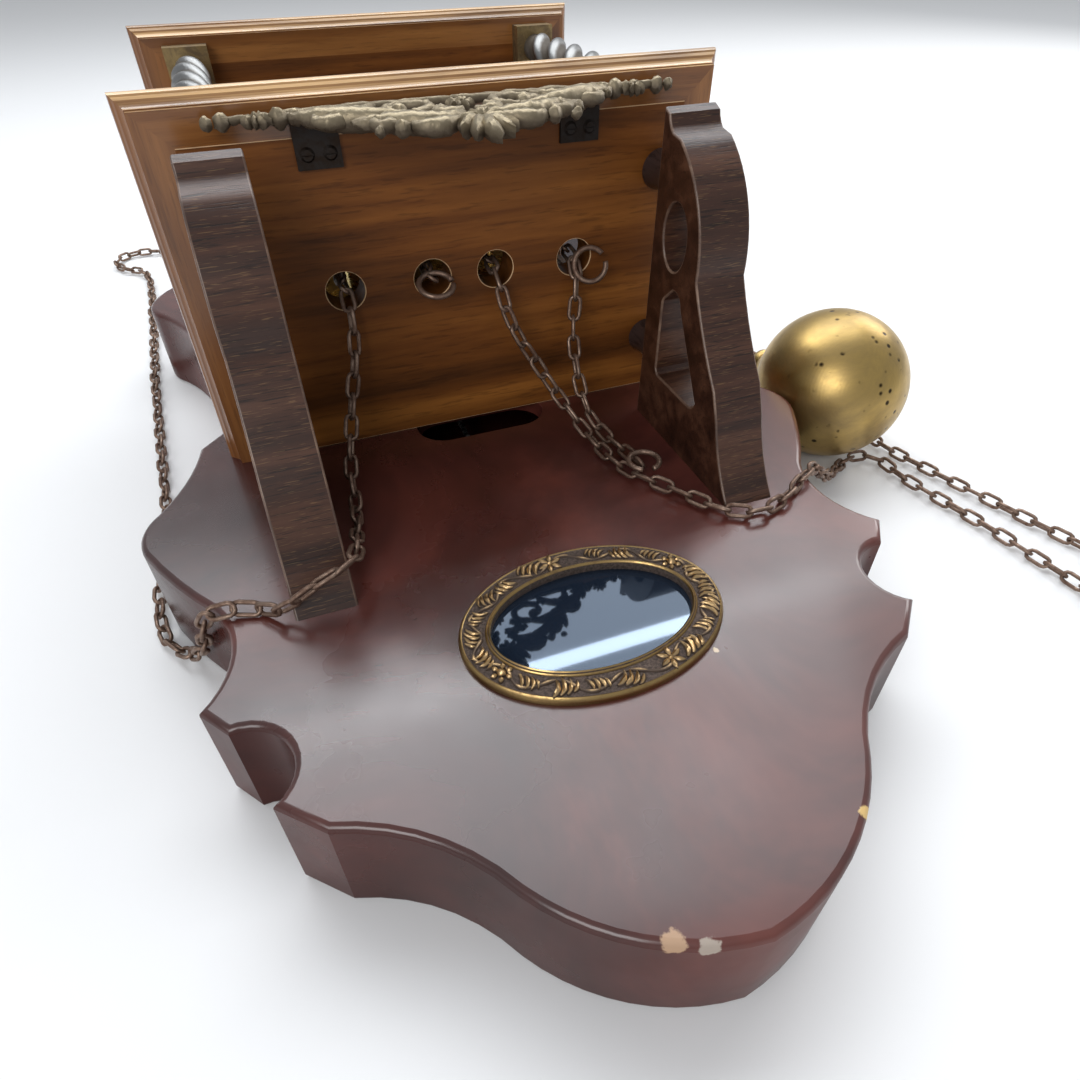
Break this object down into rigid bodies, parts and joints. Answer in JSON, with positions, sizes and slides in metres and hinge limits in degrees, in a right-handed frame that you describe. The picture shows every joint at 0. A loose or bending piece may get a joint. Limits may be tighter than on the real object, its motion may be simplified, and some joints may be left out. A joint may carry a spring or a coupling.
{
  "type": "hooded wall clock",
  "caption": "Hooded chain-driven wall clock with a shaped lacquered case, oval pendulum window, bracketed oak hood, twisted columns, pierced bronze apron and pear weights, lying on its back.",
  "frame": {"origin": "under the middle of the case, on the surface that the case's back lies on", "axes": "+Z out of the clock's front, +Y towards its top, +X to its right-hand side"},
  "size_m": [0.4553, 0.6676, 0.1865],
  "materials": {
    "lacquer_case": "gloss",
    "bracket_oak": "satin",
    "hood_oak": "satin",
    "moulding_oak": "satin",
    "ring_brass": "antique",
    "window_glass": "polished",
    "cast_bronze": "tarnished",
    "column_metal": "worn silver paint",
    "block_brass": "aged",
    "black_iron": "matt",
    "dial_brass": "satin",
    "ring_white": "satin enamel",
    "blued_steel": "blued",
    "movement_brass": "polished",
    "movement_steel": "polished",
    "chain_steel": "rusty brown",
    "weight_brass": "pitted",
    "hanger_steel": "zinc plated",
    "gong_steel": "dark"
  },
  "bodies": {
    "clock": {"case_back": "lacquer_case", "case_rim": "lacquer_case", "case_front": "lacquer_case", "hanger_plate": "hanger_steel", "lens_ring": "ring_brass", "lens_glass": "window_glass", "bracket_left": "bracket_oak", "bracket_right": "bracket_oak", "bun_feet": "bracket_oak", "hood_floor": "hood_oak", "floor_moulding": "moulding_oak", "hood_top": "hood_oak", "top_moulding": "moulding_oak", "side_frame_left": "hood_oak", "side_frame_right": "hood_oak", "side_glass": "window_glass", "front_frame": "hood_oak", "column_left": "column_metal", "column_right": "column_metal", "column_blocks": "block_brass", "apron": "cast_bronze", "apron_plates": "black_iron", "apron_screws": "black_iron", "dial_plate": "dial_brass", "chapter_ring": "ring_white", "front_plate": "movement_brass", "back_plate": "movement_brass", "pillars": "movement_brass", "suspension_cock": "block_brass", "gong": "gong_steel", "gong_post": "black_iron", "going_chain": "chain_steel", "strike_chain": "chain_steel", "chain_rings": "chain_steel", "weight_left": "weight_brass", "weight_right": "weight_brass"},
    "door": {"door_frame": "hood_oak", "door_glass": "window_glass", "door_knob": "block_brass", "door_pins": "block_brass"},
    "minute_arbor": {"centre_wheel": "movement_brass", "cannon_pinion": "movement_steel", "minute_hand": "blued_steel", "hand_nut": "block_brass"},
    "hour_pipe": {"hour_wheel": "movement_brass", "hour_hand": "blued_steel"},
    "motion_wheel": {"minute_wheel": "movement_brass"},
    "going_drum": {"going_chain_wheel": "movement_brass", "going_great_wheel": "movement_brass"},
    "third_arbor": {"third_wheel": "movement_brass"},
    "escape_arbor": {"escape_wheel": "movement_brass"},
    "strike_drum": {"strike_chain_wheel": "movement_brass", "strike_great_wheel": "movement_brass"},
    "pin_arbor": {"pin_wheel": "movement_brass"},
    "fly_arbor": {"fly": "movement_brass"},
    "pendulum": {"pendulum_rod": "movement_steel", "pendulum_bob": "movement_brass"},
    "anchor_arbor": {"anchor": "movement_steel", "crutch": "movement_steel"},
    "hammer": {"hammer": "movement_steel"}
  },
  "joints": [
    {"name": "door_hinge", "type": "hinge", "parent": "clock", "child": "door", "pos_m": [0.0735, 0.05265, 0.16], "axis": [0, 1, 0], "range_deg": [0, 100]},
    {"name": "minute_turn", "type": "hinge", "parent": "clock", "child": "minute_arbor", "pos_m": [0, 0.05265, 0.114], "axis": [0, 0, -1], "continuous": true},
    {"name": "hour_turn", "type": "hinge", "parent": "clock", "child": "hour_pipe", "pos_m": [0, 0.05265, 0.138], "axis": [0, 0, -1], "continuous": true},
    {"name": "motion_turn", "type": "hinge", "parent": "clock", "child": "motion_wheel", "pos_m": [0.012, 0.05265, 0.134], "axis": [0, 0, -1], "continuous": true},
    {"name": "going_drum_turn", "type": "hinge", "parent": "clock", "child": "going_drum", "pos_m": [0.0315, 0.04065, 0.1143], "axis": [0, 0, -1], "continuous": true},
    {"name": "third_turn", "type": "hinge", "parent": "clock", "child": "third_arbor", "pos_m": [0.011, 0.0717, 0.1], "axis": [0, 0, -1], "continuous": true},
    {"name": "escape_turn", "type": "hinge", "parent": "clock", "child": "escape_arbor", "pos_m": [0, 0.08793, 0.1], "axis": [0, 0, -1], "continuous": true},
    {"name": "strike_drum_turn", "type": "hinge", "parent": "clock", "child": "strike_drum", "pos_m": [-0.0315, 0.04065, 0.1143], "axis": [0, 0, -1], "continuous": true},
    {"name": "pin_turn", "type": "hinge", "parent": "clock", "child": "pin_arbor", "pos_m": [-0.02278, 0.07321, 0.1], "axis": [0, 0, -1], "continuous": true},
    {"name": "fly_turn", "type": "hinge", "parent": "clock", "child": "fly_arbor", "pos_m": [-0.03178, 0.0888, 0.1], "axis": [0, 0, -1], "continuous": true},
    {"name": "pendulum_swing", "type": "hinge", "parent": "clock", "child": "pendulum", "pos_m": [0, 0.10693, 0.0215], "axis": [0, 0, 1], "range_deg": [-3, 3]},
    {"name": "anchor_rock", "type": "hinge", "parent": "clock", "child": "anchor_arbor", "pos_m": [0, 0.10693, 0.08], "axis": [0, 0, 1], "range_deg": [-3, 3]},
    {"name": "hammer_lift", "type": "hinge", "parent": "clock", "child": "hammer", "pos_m": [-0.052, 0.09965, 0.1], "axis": [0, 0, 1], "range_deg": [0, 8]}
  ],
  "couplings": [
    {"joint": "hour_turn", "follows": "minute_turn", "ratio": 0.083333},
    {"joint": "motion_turn", "follows": "minute_turn", "ratio": -0.33333},
    {"joint": "going_drum_turn", "follows": "minute_turn", "ratio": -0.11111},
    {"joint": "third_turn", "follows": "minute_turn", "ratio": -10},
    {"joint": "escape_turn", "follows": "minute_turn", "ratio": 112.5},
    {"joint": "pin_turn", "follows": "strike_drum_turn", "ratio": -9},
    {"joint": "fly_turn", "follows": "strike_drum_turn", "ratio": 72},
    {"joint": "anchor_rock", "follows": "pendulum_swing", "ratio": 1}
  ]
}
